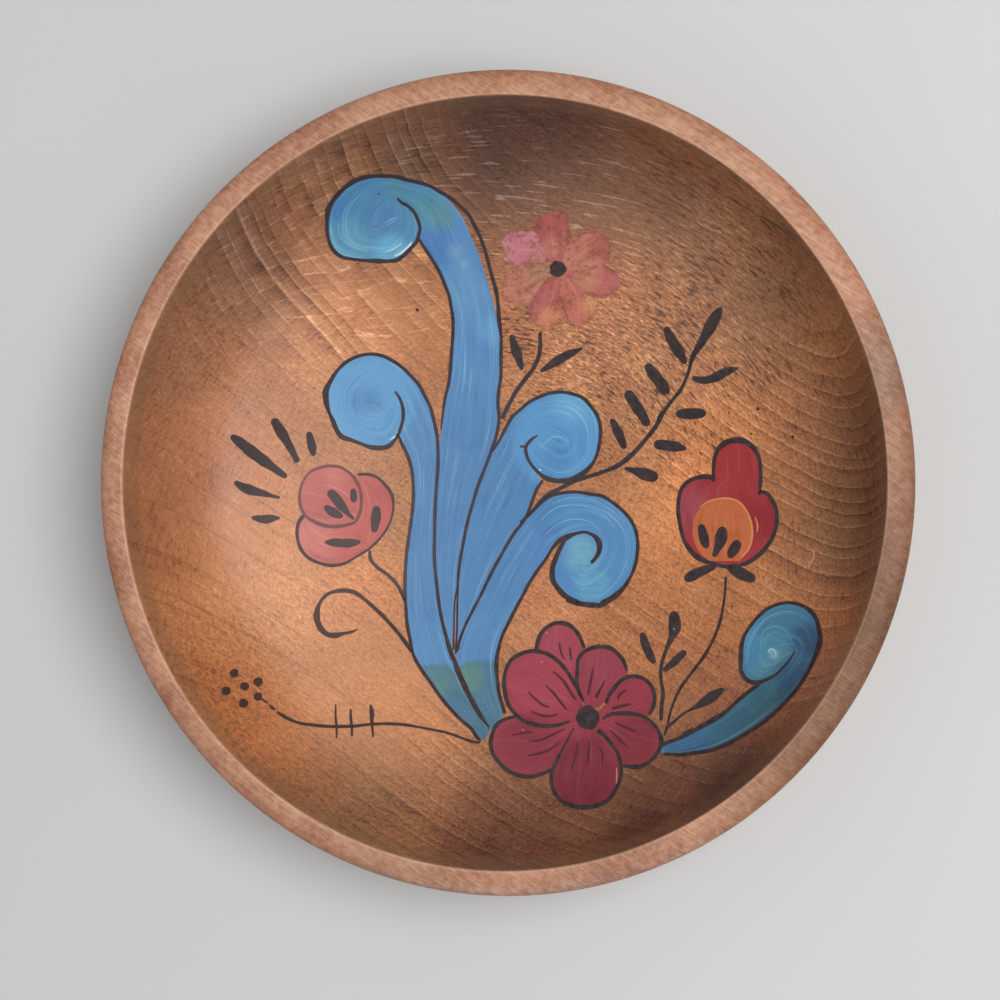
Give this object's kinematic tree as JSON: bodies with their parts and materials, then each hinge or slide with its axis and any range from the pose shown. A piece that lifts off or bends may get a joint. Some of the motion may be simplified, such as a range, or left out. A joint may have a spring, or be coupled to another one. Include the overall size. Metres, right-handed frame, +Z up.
{
  "type": "painted wooden bowl",
  "caption": "Shallow turned wooden bowl on a low foot ring, painted inside with folk-style scrolls and flowers.",
  "frame": {"origin": "centre of the flat face of the foot ring, on the surface the bowl stands on", "axes": "+Z up along the turning axis, out of the bowl's mouth; +X to the right and +Y to the top of the painted design"},
  "size_m": [0.24, 0.24, 0.062],
  "materials": {
    "stained_wood": "turned beech, stained amber brown, with a worn satin varnish inside and a plainer, paler rim",
    "blue_paint": "brushed blue artist's paint under varnish, streaked lighter and darker",
    "red_paint": "brushed crimson and coral paint under varnish",
    "yellow_paint": "thin orange and yellow touches of paint under varnish",
    "black_paint": "black liner-brush strokes under varnish"
  },
  "bodies": {
    "root": {"bowl": "stained_wood"}
  },
  "joints": []
}
